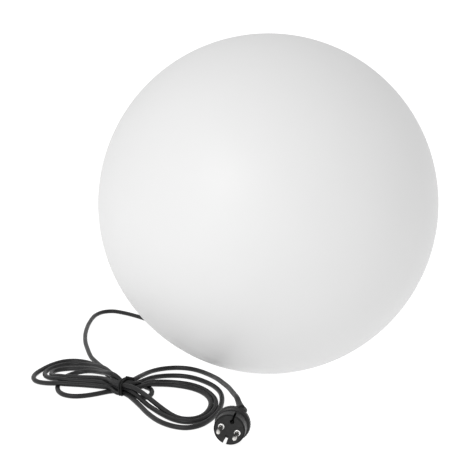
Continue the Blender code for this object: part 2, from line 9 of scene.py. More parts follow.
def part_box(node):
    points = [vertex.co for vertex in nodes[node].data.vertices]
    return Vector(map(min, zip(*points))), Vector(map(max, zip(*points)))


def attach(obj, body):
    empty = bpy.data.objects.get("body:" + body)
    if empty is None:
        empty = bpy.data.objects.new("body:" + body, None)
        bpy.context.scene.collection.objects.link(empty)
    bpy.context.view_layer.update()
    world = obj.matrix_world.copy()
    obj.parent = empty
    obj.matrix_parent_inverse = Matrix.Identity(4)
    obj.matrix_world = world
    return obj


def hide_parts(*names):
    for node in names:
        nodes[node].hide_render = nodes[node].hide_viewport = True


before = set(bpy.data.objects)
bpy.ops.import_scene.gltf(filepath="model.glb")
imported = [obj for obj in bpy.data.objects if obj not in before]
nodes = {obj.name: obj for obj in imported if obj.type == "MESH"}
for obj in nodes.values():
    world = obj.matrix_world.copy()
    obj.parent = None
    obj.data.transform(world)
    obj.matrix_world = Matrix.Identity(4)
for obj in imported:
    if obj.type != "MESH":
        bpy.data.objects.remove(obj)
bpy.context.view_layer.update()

scene = bpy.context.scene


# ---------------------------------------------------------------- Camera
# The lamp is seen from the front and a little above, with a long lens about 1.6 m from the globe.
globe_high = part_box("globe_shell")[1]
GLOBE_RADIUS = 0.225
globe_centre = Vector((0, 0, globe_high.z - GLOBE_RADIUS))
LENS_MM = 90.27
SENSOR_MM = 36.0
CAMERA_DISTANCE = 1.575
CAMERA_PITCH = math.radians(11.75)
GLOBE_RIGHT = 0.02768
GLOBE_UP = 0.02618

forward = Vector((0, math.cos(CAMERA_PITCH), -math.sin(CAMERA_PITCH)))
upward = Vector((0, math.sin(CAMERA_PITCH), math.cos(CAMERA_PITCH)))
camera_data = bpy.data.cameras.new("camera")
camera_data.lens = LENS_MM
camera_data.sensor_width = SENSOR_MM
camera = bpy.data.objects.new("camera", camera_data)
ahead = CAMERA_DISTANCE / math.sqrt(1 + GLOBE_RIGHT**2 + GLOBE_UP**2)
camera.location = globe_centre - ahead * (forward + Vector((GLOBE_RIGHT, 0, 0)) + GLOBE_UP * upward)
camera.rotation_euler = (math.pi / 2 - CAMERA_PITCH, 0, 0)
scene.collection.objects.link(camera)
scene.camera = camera


# ---------------------------------------------------------------- Floor and light
# A white studio: a wide floor that glows a little like a lit table, an even white room and one
# large soft light at the front left. The backdrop behind the lamp is lit brighter than the room.
scene.view_settings.view_transform = "Standard"
world = bpy.data.worlds.new("studio")
world.use_nodes = True
world_tree = world.node_tree
room = world_tree.nodes["Background"]
room.inputs["Color"].default_value = (1, 1, 1, 1)
room.inputs["Strength"].default_value = 0.90
backdrop = world_tree.nodes.new("ShaderNodeBackground")
backdrop.inputs["Color"].default_value = (1, 1, 1, 1)
backdrop.inputs["Strength"].default_value = 1.1
seen = world_tree.nodes.new("ShaderNodeLightPath")
choice = world_tree.nodes.new("ShaderNodeMixShader")
world_tree.links.new(seen.outputs["Is Camera Ray"], choice.inputs["Fac"])
world_tree.links.new(room.outputs["Background"], choice.inputs[1])
world_tree.links.new(backdrop.outputs["Background"], choice.inputs[2])
world_tree.links.new(choice.outputs["Shader"], world_tree.nodes["World Output"].inputs["Surface"])
scene.world = world

bpy.ops.mesh.primitive_plane_add(size=160)
floor = bpy.context.object
floor.name = "studio_floor"
floor.location.z = -0.0003
floor_paint = bpy.data.materials.new("studio_white")
floor_paint.use_nodes = True
floor_shader = floor_paint.node_tree.nodes["Principled BSDF"]
floor_shader.inputs["Base Color"].default_value = (0.30, 0.30, 0.30, 1)
floor_shader.inputs["Roughness"].default_value = 1.0
floor_shader.inputs["Specular IOR Level"].default_value = 0.0
floor_shader.inputs["Emission Color"].default_value = (1, 1, 1, 1)
floor_shader.inputs["Emission Strength"].default_value = 0.90
floor.data.materials.append(floor_paint)

KEY_PLACE = (-1.05, -1.70, 1.16)
key_data = bpy.data.lights.new("key_light", "AREA")
key_data.shape = "DISK"
key_data.size = 1.0
key_data.energy = 17
key_light = bpy.data.objects.new("key_light", key_data)
key_light.location = KEY_PLACE
key_light.rotation_euler = (globe_centre - Vector(KEY_PLACE)).to_track_quat("-Z", "Y").to_euler()
scene.collection.objects.link(key_light)


# ---------------------------------------------------------------- Cord
# One 6.2 mm round rubber-sheathed flex, dark grey and slightly dusty. It leaves the plinth under
# the globe, is folded into a tied hank of four turns each way, and runs on to the plug.
CORD_DIAMETER = 0.0062
LIE = CORD_DIAMETER / 2 + 0.0001
EXIT = (0.0, 0.0, 0.0299)

lead_route = [
    EXIT, (0.0000, 0.0000, 0.0282), (-0.0013, 0.0014, 0.0186), (-0.0049, 0.0054, 0.0105),
    (-0.0103, 0.0114, 0.0051), (-0.0167, 0.0186, LIE), (-0.040, 0.0445, LIE),
    (-0.080, 0.089, LIE), (-0.125, 0.139, LIE), (-0.165, 0.183, LIE), (-0.199, 0.219, LIE),
    (-0.219, 0.236, LIE), (-0.236, 0.245, LIE), (-0.250, 0.241, LIE), (-0.260, 0.224, LIE),
    (-0.265, 0.184, LIE), (-0.2645, 0.130, LIE), (-0.2595, 0.084, LIE), (-0.2505, 0.041, LIE),
    (-0.2405, 0.004, LIE), (-0.2325, -0.014, LIE), (-0.2267, -0.027, LIE),
    (-0.218, -0.046, 0.004), (-0.206, -0.072, 0.007), (-0.195, -0.100, 0.008),
]
right_turns = [
    [(-0.167, -0.117, 0.010), (-0.151, -0.088, 0.007), (-0.134, -0.073, 0.004),
     (-0.116, -0.071, LIE), (-0.099, -0.079, LIE), (-0.082, -0.096, LIE), (-0.070, -0.114, LIE),
     (-0.062, -0.136, LIE), (-0.0595, -0.158, LIE), (-0.060, -0.180, LIE), (-0.064, -0.207, LIE),
     (-0.073, -0.234, LIE), (-0.085, -0.254, LIE), (-0.099, -0.262, LIE), (-0.114, -0.257, LIE),
     (-0.130, -0.243, LIE), (-0.1465, -0.216, LIE), (-0.160, -0.184, LIE), (-0.170, -0.162, LIE)],
    [(-0.164, -0.125, 0.008), (-0.147, -0.104, 0.006), (-0.128, -0.098, 0.004),
     (-0.108, -0.102, LIE), (-0.089, -0.117, LIE), (-0.076, -0.138, LIE), (-0.068, -0.162, LIE),
     (-0.067, -0.188, LIE), (-0.072, -0.214, LIE), (-0.081, -0.233, LIE), (-0.092, -0.242, LIE),
     (-0.104, -0.242, LIE), (-0.117, -0.233, LIE), (-0.133, -0.212, LIE), (-0.149, -0.186, LIE),
     (-0.165, -0.158, 0.006)],
    [(-0.161, -0.131, 0.009), (-0.145, -0.115, 0.006), (-0.127, -0.109, 0.004),
     (-0.109, -0.114, LIE), (-0.091, -0.128, LIE), (-0.079, -0.147, LIE), (-0.073, -0.170, LIE),
     (-0.074, -0.198, LIE), (-0.080, -0.220, LIE), (-0.091, -0.233, LIE), (-0.104, -0.234, LIE),
     (-0.116, -0.225, 0.004), (-0.131, -0.205, 0.007), (-0.146, -0.182, 0.0100),
     (-0.162, -0.158, 0.0130)],
    [(-0.166, -0.119, 0.012), (-0.159, -0.1145, 0.008), (-0.152, -0.118, 0.0045),
     (-0.148, -0.129, LIE), (-0.1470, -0.143, LIE), (-0.1495, -0.156, LIE),
     (-0.156, -0.162, LIE), (-0.164, -0.158, LIE), (-0.171, -0.150, LIE)],
]
left_turns = [
    [(-0.198, -0.134, 0.007), (-0.217, -0.126, 0.0075), (-0.240, -0.122, 0.0085),
     (-0.260, -0.122, 0.0097), (-0.2745, -0.118, 0.0090), (-0.290, -0.106, 0.005),
     (-0.302, -0.095, LIE), (-0.308, -0.081, LIE), (-0.3075, -0.065, LIE), (-0.301, -0.046, LIE),
     (-0.289, -0.0225, LIE), (-0.274, -0.008, LIE), (-0.253, -0.009, LIE), (-0.235, -0.026, 0.005),
     (-0.220, -0.052, 0.007), (-0.205, -0.088, 0.009)],
    [(-0.200, -0.128, 0.010), (-0.218, -0.115, 0.010), (-0.2365, -0.111, 0.0095),
     (-0.260, -0.107, 0.0097), (-0.2765, -0.099, 0.0085), (-0.2905, -0.080, 0.0045),
     (-0.296, -0.061, LIE), (-0.293, -0.0455, LIE), (-0.284, -0.0315, LIE), (-0.271, -0.022, LIE),
     (-0.255, -0.021, LIE), (-0.238, -0.032, 0.005), (-0.221, -0.054, 0.008),
     (-0.206, -0.083, 0.011)],
    [(-0.201, -0.124, 0.014), (-0.217, -0.107, 0.0125), (-0.234, -0.101, 0.0110),
     (-0.2515, -0.097, 0.0100), (-0.2705, -0.092, 0.0095), (-0.2825, -0.078, 0.0050),
     (-0.288, -0.060, LIE), (-0.283, -0.047, LIE), (-0.270, -0.042, LIE), (-0.252, -0.045, 0.005),
     (-0.233, -0.057, 0.008), (-0.216, -0.076, 0.011), (-0.202, -0.102, 0.014)],
    [(-0.202, -0.133, 0.004), (-0.216, -0.143, LIE), (-0.231, -0.151, LIE),
     (-0.244, -0.154, LIE), (-0.256, -0.150, LIE), (-0.2645, -0.140, LIE), (-0.2695, -0.125, LIE),
     (-0.2710, -0.109, LIE), (-0.2710, -0.093, LIE), (-0.2680, -0.078, LIE),
     (-0.261, -0.067, LIE), (-0.251, -0.060, 0.0045), (-0.238, -0.063, 0.008),
     (-0.219, -0.083, 0.012), (-0.202, -0.110, 0.016)],
]
tail_route = [
    (-0.171, -0.117, 0.0150), (-0.166, -0.098, 0.0120), (-0.1625, -0.082, 0.0085),
    (-0.1595, -0.068, 0.0065), (-0.155, -0.0575, 0.0052), (-0.148, -0.047, 0.0038),
    (-0.139, -0.0405, LIE), (-0.118, -0.036, LIE), (-0.100, -0.043, LIE), (-0.083, -0.063, 0.0042),
    (-0.072, -0.088, 0.0075), (-0.065, -0.115, 0.0130), (-0.058, -0.150, 0.0195),
    (-0.051, -0.193, 0.0288), (-0.047, -0.226, 0.0352), (-0.0434, -0.2550, 0.0409),
    (-0.0416, -0.2675, 0.0429), (-0.0404, -0.2738, 0.0423), (-0.0396, -0.2775, 0.0412),
]

# The nine strands under the tie are stacked in three rows of three, nested like logs.
TIE_ANGLE = math.radians(-20)
tie_low, tie_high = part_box("cord_tie")
tie_centre = (tie_low + tie_high) / 2
tie_along = Vector((math.cos(TIE_ANGLE), math.sin(TIE_ANGLE), 0))
tie_across = Vector((-tie_along.y, tie_along.x, 0))
ROW_RISE = CORD_DIAMETER * 0.87
HALF_UNDER_TIE = 0.008


def under_tie(column, row, rightward):
    """The two points where a strand enters and leaves the tie."""
    shift = 0.25 if row % 2 else -0.25
    place = tie_centre + tie_across * (column - 1 + shift) * CORD_DIAMETER
    place.z = LIE + row * ROW_RISE
    ends = [place - tie_along * HALF_UNDER_TIE, place + tie_along * HALF_UNDER_TIE]
    return ends if rightward else ends[::-1]


going_right = [(2, 1), (2, 0), (1, 1), (1, 2)]
going_left = [(0, 0), (0, 1), (0, 2), (1, 0)]
cord_route = list(lead_route)
for out_slot, right_turn, back_slot, left_turn in zip(going_right, right_turns, going_left, left_turns):
    cord_route += under_tie(*out_slot, True) + right_turn
    cord_route += under_tie(*back_slot, False) + left_turn
cord_route += under_tie(2, 2, True) + tail_route


def smooth_line(route, step):
    """Points about step apart on a centripetal Catmull-Rom curve through the route."""
    places = [np.array(p, float) for p in route]
    places = [2 * places[0] - places[1]] + places + [2 * places[-1] - places[-2]]
    found = []
    for a, b, c, d in zip(places, places[1:], places[2:], places[3:]):
        t0 = 0.0
        t1 = t0 + math.sqrt(np.linalg.norm(b - a))
        t2 = t1 + math.sqrt(np.linalg.norm(c - b))
        t3 = t2 + math.sqrt(np.linalg.norm(d - c))
        count = max(1, round(np.linalg.norm(c - b) / step))
        for t in t1 + (t2 - t1) * np.arange(count) / count:
            ab = ((t1 - t) * a + (t - t0) * b) / (t1 - t0)
            bc = ((t2 - t) * b + (t - t1) * c) / (t2 - t1)
            cd = ((t3 - t) * c + (t - t2) * d) / (t3 - t2)
            left = ((t2 - t) * ab + (t - t0) * bc) / (t2 - t0)
            right = ((t3 - t) * bc + (t - t1) * cd) / (t3 - t1)
            found.append(((t2 - t) * left + (t - t1) * right) / (t2 - t1))
    found.append(places[-2])
    return np.array(found)


SETTLE_ROUNDS = 120
LOOSENING_POINTS = 20
TIE_HOLD = 0.006
TIE_REACH = 0.02
PAIRS_LAST = 10
PAIR_REACH = 2.2 * CORD_DIAMETER
SAME_STRAND_POINTS = 7
STRAND_SPACING = CORD_DIAMETER * 1.01
STIFFNESS = 0.6
SIDE_PULL = 0.08
HEIGHT_PULL = 0.03
WEIGHT = 0.00002


def settle(line, first, last, rounds):
    """Relaxes the cord between two of its points: strands that lie in each other are pushed apart,
    stiffness evens the bends, weight pulls down, and the floor and the tie hold."""
    home = line.copy()
    count = len(line)
    loose = np.zeros(count)
    loose[first:last] = 1
    ramp = np.linspace(0, 1, LOOSENING_POINTS)
    loose[first:first + LOOSENING_POINTS] = ramp
    loose[last - LOOSENING_POINTS:last] = ramp[::-1]
    from_tie = line[:, :2] - np.array(tie_centre[:2])
    under = np.abs(from_tie @ np.array(tie_along[:2])) < TIE_HOLD
    under &= np.linalg.norm(from_tie, axis=1) < TIE_REACH
    loose[under] = 0
    loose = loose[:, None]
    order = np.arange(count)
    for turn in range(rounds):
        if turn % PAIRS_LAST == 0:
            gaps = np.linalg.norm(line[:, None] - line[None], axis=2)
            later = order[None] - order[:, None] > SAME_STRAND_POINTS
            one, other = np.where((gaps < PAIR_REACH) & later)
        apart = line[one] - line[other]
        gap = np.linalg.norm(apart, axis=1) + 1e-9
        overlap = np.clip(STRAND_SPACING - gap, 0, None)
        push = apart / gap[:, None] * overlap[:, None] * 0.5
        moves = np.zeros_like(line)
        touches = np.zeros(count)
        np.add.at(moves, one, push)
        np.add.at(moves, other, -push)
        np.add.at(touches, one, overlap > 0)
        np.add.at(touches, other, overlap > 0)
        line += moves / np.sqrt(np.maximum(1, touches))[:, None] * loose
        for _ in range(2):
            even = line.copy()
            even[1:-1] = 0.5 * line[1:-1] + 0.25 * (line[:-2] + line[2:])
            line += (even - line) * loose * STIFFNESS
        line[:, :2] += (home[:, :2] - line[:, :2]) * SIDE_PULL * loose
        line[:, 2] += ((home[:, 2] - line[:, 2]) * HEIGHT_PULL - WEIGHT) * loose[:, 0]
        line[first:last, 2] = np.maximum(line[first:last, 2], LIE)
    return line


def nearest(line, place):
    return int(np.argmin(np.linalg.norm(line - np.array(place), axis=1)))


def evened(points, rounds):
    """The points with their bends spread out and both ends held."""
    points = points.copy()
    for _ in range(rounds):
        points[1:-1] = 0.5 * points[1:-1] + 0.25 * (points[:-2] + points[2:])
    return points


COARSE_STEP = 0.004
FINE_STEP = 0.002
LEAVING_ROUNDS = 8
LEAVING_POINTS = 6
TAIL_ROUNDS = 25
TAIL_END_POINTS = 5
cord_line = smooth_line(cord_route, COARSE_STEP)
settle_from = nearest(cord_line, lead_route[-6])
settle_to = nearest(cord_line, tail_route[6])
cord_line = settle(cord_line, settle_from, settle_to, SETTLE_ROUNDS)
for leaving in (right_turns[0][0], tail_route[0]):
    bend = nearest(cord_line, leaving)
    bent = slice(bend - LEAVING_POINTS, bend + LEAVING_POINTS + 1)
    cord_line[bent] = evened(cord_line[bent], LEAVING_ROUNDS)
bare_tail = slice(nearest(cord_line, tail_route[2]), -TAIL_END_POINTS)
cord_line[bare_tail] = evened(cord_line[bare_tail], TAIL_ROUNDS)
cord_line = smooth_line(cord_line, FINE_STEP)
cord_line[:, 2] = np.maximum(cord_line[:, 2], LIE)


def tube_along(name, line, radius, bevel_resolution=4):
    """A curve object with round section and closed ends along the line."""
    curve = bpy.data.curves.new(name, "CURVE")
    curve.dimensions = "3D"
    curve.bevel_depth = radius
    curve.bevel_resolution = bevel_resolution
    curve.use_fill_caps = True
    curve.twist_mode = "MINIMUM"
    spline = curve.splines.new("POLY")
    spline.points.add(len(line) - 1)
    for point, place in zip(spline.points, line):
        point.co = (*place, 1)
    spline.use_smooth = True
    obj = bpy.data.objects.new(name, curve)
    scene.collection.objects.link(obj)
    return obj


def input_socket(group, name, kind, value):
    socket = group.interface.new_socket(name, in_out="INPUT", socket_type=kind)
    socket.default_value = value


def grain_group():
    """Fine moulded grain as a bump: a small noise for the tool's texture and a broad one for sink."""
    group = bpy.data.node_groups.new("moulded_grain", "ShaderNodeTree")
    input_socket(group, "Grains per metre", "NodeSocketFloat", 900.0)
    input_socket(group, "Depth", "NodeSocketFloat", 0.1)
    input_socket(group, "Waves per metre", "NodeSocketFloat", 25.0)
    input_socket(group, "Wave depth", "NodeSocketFloat", 0.05)
    group.interface.new_socket("Normal", in_out="OUTPUT", socket_type="NodeSocketVector")
    group.interface.new_socket("Mask", in_out="OUTPUT", socket_type="NodeSocketFloat")
    add = group.nodes.new
    given = add("NodeGroupInput")
    given.location = (-900, 0)
    result = add("NodeGroupOutput")
    result.location = (500, 0)
    place = add("ShaderNodeTexCoord")
    place.location = (-900, -250)
    fine = add("ShaderNodeTexNoise")
    fine.location = (-600, 150)
    fine.inputs["Detail"].default_value = 3
    broad = add("ShaderNodeTexNoise")
    broad.location = (-600, -150)
    broad.inputs["Detail"].default_value = 2
    low_bump = add("ShaderNodeBump")
    low_bump.location = (-200, -150)
    low_bump.inputs["Distance"].default_value = 0.002
    high_bump = add("ShaderNodeBump")
    high_bump.location = (150, 0)
    high_bump.inputs["Distance"].default_value = 0.0003
    join = group.links.new
    join(place.outputs["Object"], fine.inputs["Vector"])
    join(place.outputs["Object"], broad.inputs["Vector"])
    join(given.outputs["Grains per metre"], fine.inputs["Scale"])
    join(given.outputs["Waves per metre"], broad.inputs["Scale"])
    join(given.outputs["Wave depth"], low_bump.inputs["Strength"])
    join(given.outputs["Depth"], high_bump.inputs["Strength"])
    join(broad.outputs["Fac"], low_bump.inputs["Height"])
    join(fine.outputs["Fac"], high_bump.inputs["Height"])
    join(low_bump.outputs["Normal"], high_bump.inputs["Normal"])
    join(high_bump.outputs["Normal"], result.inputs["Normal"])
    join(fine.outputs["Fac"], result.inputs["Mask"])
    return group


def wear_group():
    """Uneven handling: a soft patchy mask of dust and rub marks, blended between two colours, and the
    roughness that goes with it."""
    group = bpy.data.node_groups.new("handling_marks", "ShaderNodeTree")
    input_socket(group, "Clean colour", "NodeSocketColor", (0.1, 0.1, 0.1, 1))
    input_socket(group, "Marked colour", "NodeSocketColor", (0.2, 0.2, 0.2, 1))
    input_socket(group, "Patches per metre", "NodeSocketFloat", 40.0)
    input_socket(group, "Amount", "NodeSocketFloat", 0.5)
    input_socket(group, "Clean roughness", "NodeSocketFloat", 0.4)
    input_socket(group, "Marked roughness", "NodeSocketFloat", 0.6)
    group.interface.new_socket("Colour", in_out="OUTPUT", socket_type="NodeSocketColor")
    group.interface.new_socket("Roughness", in_out="OUTPUT", socket_type="NodeSocketFloat")
    add = group.nodes.new
    given = add("NodeGroupInput")
    given.location = (-1000, 0)
    result = add("NodeGroupOutput")
    result.location = (500, 0)
    place = add("ShaderNodeTexCoord")
    place.location = (-1000, -300)
    patches = add("ShaderNodeTexNoise")
    patches.location = (-750, -150)
    patches.inputs["Detail"].default_value = 5
    patches.inputs["Roughness"].default_value = 0.6
    spread = add("ShaderNodeMapRange")
    spread.location = (-500, -150)
    spread.inputs["From Min"].default_value = 0.40
    spread.inputs["From Max"].default_value = 0.70
    part = add("ShaderNodeMath")
    part.operation = "MULTIPLY"
    part.location = (-250, -150)
    tint = add("ShaderNodeMix")
    tint.data_type = "RGBA"
    tint.location = (100, 100)
    rough = add("ShaderNodeMix")
    rough.location = (100, -200)
    join = group.links.new
    join(place.outputs["Object"], patches.inputs["Vector"])
    join(given.outputs["Patches per metre"], patches.inputs["Scale"])
    join(patches.outputs["Fac"], spread.inputs["Value"])
    join(spread.outputs["Result"], part.inputs[0])
    join(given.outputs["Amount"], part.inputs[1])
    join(part.outputs["Value"], tint.inputs["Factor"])
    join(part.outputs["Value"], rough.inputs["Factor"])
    join(given.outputs["Clean colour"], tint.inputs["A"])
    join(given.outputs["Marked colour"], tint.inputs["B"])
    join(given.outputs["Clean roughness"], rough.inputs["A"])
    join(given.outputs["Marked roughness"], rough.inputs["B"])
    join(tint.outputs["Result"], result.inputs["Colour"])
    join(rough.outputs["Result"], result.inputs["Roughness"])
    return group


grain = grain_group()
handling = wear_group()


def surface(name, clean, marked, roughness, marked_roughness, amount=0.5, patches=40.0, grains=900.0,
            depth=0.1, waves=25.0, wave_depth=0.05, metallic=0.0, gloss=0.5):
    """A material with handling marks in its colour and roughness, and moulded grain in its normal."""
    material = bpy.data.materials.new(name)
    material.use_nodes = True
    tree = material.node_tree
    shader = tree.nodes["Principled BSDF"]
    shader.inputs["Metallic"].default_value = metallic
    shader.inputs["Specular IOR Level"].default_value = gloss
    marks = tree.nodes.new("ShaderNodeGroup")
    marks.node_tree = handling
    marks.location = (-400, 200)
    marks.inputs["Clean colour"].default_value = (*clean, 1)
    marks.inputs["Marked colour"].default_value = (*marked, 1)
    marks.inputs["Patches per metre"].default_value = patches
    marks.inputs["Amount"].default_value = amount
    marks.inputs["Clean roughness"].default_value = roughness
    marks.inputs["Marked roughness"].default_value = marked_roughness
    relief = tree.nodes.new("ShaderNodeGroup")
    relief.node_tree = grain
    relief.location = (-400, -200)
    relief.inputs["Grains per metre"].default_value = grains
    relief.inputs["Depth"].default_value = depth
    relief.inputs["Waves per metre"].default_value = waves
    relief.inputs["Wave depth"].default_value = wave_depth
    tree.links.new(marks.outputs["Colour"], shader.inputs["Base Color"])
    tree.links.new(marks.outputs["Roughness"], shader.inputs["Roughness"])
    tree.links.new(relief.outputs["Normal"], shader.inputs["Normal"])
    return material


def dress(obj, material):
    """Gives the object this material alone."""
    obj.data.materials.clear()
    obj.data.materials.append(material)
    return obj


cord_rubber = surface("cord_rubber", (0.006, 0.006, 0.0065), (0.018, 0.018, 0.019), 0.42, 0.60,
                      amount=0.55, patches=90.0, grains=2500.0, depth=0.25, waves=160.0,
                      wave_depth=0.12, gloss=0.30)
cord = dress(tube_along("cord", cord_line, CORD_DIAMETER / 2), cord_rubber)
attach(cord, "plinth")
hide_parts("cord_lead", "cord_hank", "cord_tail")


# ---------------------------------------------------------------- Cord tie
# A black twist tie: a soft plastic-covered wire, wound twice round the hank's waist, with its two
# ends twisted together in front.
TIE_WIRE = 0.0013
TIE_TURNS = 2
TIE_STEPS = 96
TIE_SQUARENESS = 0.62
END_TURNS = 2.5
END_STEPS = 40
END_LENGTH = 0.011
tie_plastic = surface("tie_plastic", (0.006, 0.006, 0.006), (0.014, 0.014, 0.015), 0.50, 0.65,
                      amount=0.5, patches=120.0, grains=2500.0, depth=0.15, gloss=0.15)


def tie_line():
    """Two turns of a rounded oval round the waist, that advance along the bundle."""
    half_across = 1.5 * CORD_DIAMETER + 0.25 * CORD_DIAMETER + TIE_WIRE
    half_up = (2 * ROW_RISE + CORD_DIAMETER) / 2 + TIE_WIRE
    middle_up = LIE + ROW_RISE
    found = []
    for i in range(TIE_STEPS + 1):
        turn = 2 * math.pi * TIE_TURNS * i / TIE_STEPS - math.pi / 2
        across = math.copysign(abs(math.cos(turn)) ** TIE_SQUARENESS, math.cos(turn)) * half_across
        rise = math.copysign(abs(math.sin(turn)) ** TIE_SQUARENESS, math.sin(turn)) * half_up
        along = (i / TIE_STEPS - 0.5) * 2 * 2.1 * TIE_WIRE
        place = tie_centre + tie_across * across + tie_along * along
        place.z = max(TIE_WIRE + 0.0003, middle_up + rise)
        found.append(tuple(place))
    return found


def twisted_end(phase):
    """One of the two ends, wound round the other on a line that lies back along the hank."""
    start = tie_centre + tie_across * 0.006
    start.z = LIE + 2 * ROW_RISE + CORD_DIAMETER / 2 + 1.6 * TIE_WIRE
    way = (tie_along * 0.75 + tie_across * 0.6 - Vector((0, 0, 0.30))).normalized()
    side = way.cross(Vector((0, 0, 1))).normalized()
    rise = side.cross(way)
    found = []
    for i in range(END_STEPS + 1):
        turn = phase + 2 * math.pi * END_TURNS * i / END_STEPS
        round_it = (side * math.cos(turn) + rise * math.sin(turn)) * TIE_WIRE * 0.95
        found.append(tuple(start + way * END_LENGTH * i / END_STEPS + round_it))
    return found


tie = dress(tube_along("cord_tie_wire", tie_line(), TIE_WIRE, bevel_resolution=3), tie_plastic)
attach(tie, "plinth")
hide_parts("cord_tie")
for word, phase in (("one", 0.0), ("two", math.pi)):
    end_piece = tube_along(f"tie_end_{word}", twisted_end(phase), TIE_WIRE, bevel_resolution=3)
    dress(end_piece, tie_plastic)
    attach(end_piece, "plinth")


# ---------------------------------------------------------------- Plug
# A two-pin mains plug, moulded in black rubber onto the end of the cord: a drum with a recessed face,
# a ribbed grip ring behind it, a lump where the cord enters and a slim strain relief on the cord.
PLUG_PLACE = (-0.050, -0.312, 0.0208)
PLUG_YAW = math.radians(-10.8)
PLUG_ROLL = math.radians(19)
PIN_SPACING = 0.019
PIN_HOLE_RADIUS = 0.0027
RELIEF_LENGTH = 0.021
RELIEF_INSIDE = 0.0125
RELIEF_RADIUS = 0.00335
RELIEF_FLARE = 0.0017
RIB_DEPTH = 0.00018
RIB_COUNT = 9
RIBS_END = 0.66
plug_stand = (Matrix.Translation(PLUG_PLACE) @ Matrix.Rotation(PLUG_YAW, 4, "Z")
              @ Matrix.Rotation(PLUG_ROLL, 4, "Y"))
face_forward = Matrix.Rotation(math.radians(-90), 4, "X")


def object_from(name, bm, sharp=38):
    """An object from the mesh, smooth except at edges over the sharp angle in degrees."""
    bmesh.ops.remove_doubles(bm, verts=bm.verts, dist=1e-6)
    bmesh.ops.recalc_face_normals(bm, faces=bm.faces)
    mesh = bpy.data.meshes.new(name)
    bm.to_mesh(mesh)
    bm.free()
    mesh.shade_smooth()
    mesh.set_sharp_from_angle(angle=math.radians(sharp))
    obj = bpy.data.objects.new(name, mesh)
    scene.collection.objects.link(obj)
    return obj


def turned(name, profile, steps=48, closed=False):
    """A solid of revolution about Z from (radius, z) points. A closed profile makes a ring."""
    bm = bmesh.new()
    points = [bm.verts.new((r, 0, z)) for r, z in profile]
    pairs = list(zip(points, points[1:]))
    if closed:
        pairs.append((points[-1], points[0]))
    edges = [bm.edges.new(pair) for pair in pairs]
    bmesh.ops.spin(bm, geom=points + edges, cent=(0, 0, 0), axis=(0, 0, 1), angle=2 * math.pi,
                   steps=steps, use_merge=True)
    return object_from(name, bm)


def softened(corners, amount, closed=False):
    """The profile with each corner rounded, by the amount or by half of its shorter side."""
    found = []
    count = len(corners)
    for i, corner in enumerate(corners):
        if not closed and i in (0, count - 1):
            found.append(tuple(corner))
            continue
        here = Vector(corner)
        before = Vector(corners[i - 1]) - here
        after = Vector(corners[(i + 1) % count]) - here
        cut_back = min(amount, before.length * 0.45, after.length * 0.45)
        start = here + before.normalized() * cut_back
        end = here + after.normalized() * cut_back
        for t in (0, 0.25, 0.5, 0.75, 1):
            found.append(tuple(start * (1 - t)**2 + here * 2 * t * (1 - t) + end * t**2))
    return found


def fluted(obj, count, depth, low, high, inside):
    """Presses rounded flutes into the turned surface that is between two heights and outside a
    radius. They fade out at both ends."""
    for vertex in obj.data.vertices:
        radius = math.hypot(vertex.co.x, vertex.co.y)
        fade = min(1.0, max(0.0, min(vertex.co.z - low, high - vertex.co.z) / 0.0008))
        if radius > inside and fade > 0:
            turn = math.atan2(vertex.co.y, vertex.co.x)
            less = depth * fade * (0.5 - 0.5 * math.cos(count * turn))
            vertex.co.x *= 1 - less / radius
            vertex.co.y *= 1 - less / radius
    return obj


def box_tool(low, high):
    bm = bmesh.new()
    bmesh.ops.create_cube(bm, size=1.0)
    size = Vector(high) - Vector(low)
    middle = (Vector(high) + Vector(low)) / 2
    sized = Matrix.Translation(middle) @ Matrix.Diagonal((*size, 1))
    bmesh.ops.transform(bm, matrix=sized, verts=bm.verts)
    return object_from("tool", bm)


def combined(obj, tool, operation="DIFFERENCE"):
    """Cuts the tool out of the object, or joins it on, and keeps the result as the object's mesh."""
    modifier = obj.modifiers.new("shape", "BOOLEAN")
    modifier.operation = operation
    modifier.solver = "EXACT"
    modifier.object = tool
    bpy.context.view_layer.update()
    graph = bpy.context.evaluated_depsgraph_get()
    mesh = bpy.data.meshes.new_from_object(obj.evaluated_get(graph))
    obj.modifiers.clear()
    obj.data = mesh
    bpy.data.objects.remove(tool, do_unlink=True)
    return obj


def moved(obj, matrix):
    obj.data.transform(matrix)
    return obj


def along_line(start, end):
    """The placing of a piece turned about Z, with its foot at start and its axis towards end."""
    turn = Vector((0, 0, 1)).rotation_difference(Vector(end) - Vector(start))
    return Matrix.Translation(start) @ turn.to_matrix().to_4x4()


body_profile = softened(
    [(0, 0.0043), (0.0169, 0.0043), (0.0169, 0.0004), (0.0173, 0), (0.0180, 0.0009), (0.0180, 0.0040),
     (0.0180, 0.0125), (0.0174, 0.0142), (0.0174, 0.0160), (0.0196, 0.0168), (0.0206, 0.0180),
     (0.0206, 0.0196), (0.0206, 0.0210), (0.0206, 0.0225), (0.0192, 0.0243), (0.0165, 0.0280),
     (0.0110, 0.0315), (0, 0.033)], 0.0008)
plug_body = fluted(turned("plug", body_profile, 160), 40, 0.00035, 0.0172, 0.0232, 0.0190)
moved(plug_body, plug_stand @ face_forward)
lump_turn = math.radians(15)
lump_way = Vector((math.sin(lump_turn), 0, math.cos(lump_turn)))
lump_middle = Vector((0, 0.025, 0))
lump_profile = softened([(0, 0), (0.0062, 0), (0.0060, 0.0040), (0.0057, 0.0100),
                         (0.0052, 0.0135), (0, 0.0135)], 0.0018)
lump = turned("lump", lump_profile, 40)
moved(lump, plug_stand @ along_line(lump_middle + lump_way * 0.008, lump_middle + lump_way * 0.022))
combined(plug_body, lump, "UNION")
cord_end = Vector(tail_route[-1])
cord_way = (cord_end - Vector(tail_route[-2])).normalized()
to_end = np.append(np.cumsum(np.linalg.norm(np.diff(cord_line, axis=0), axis=1)[::-1])[::-1], 0)
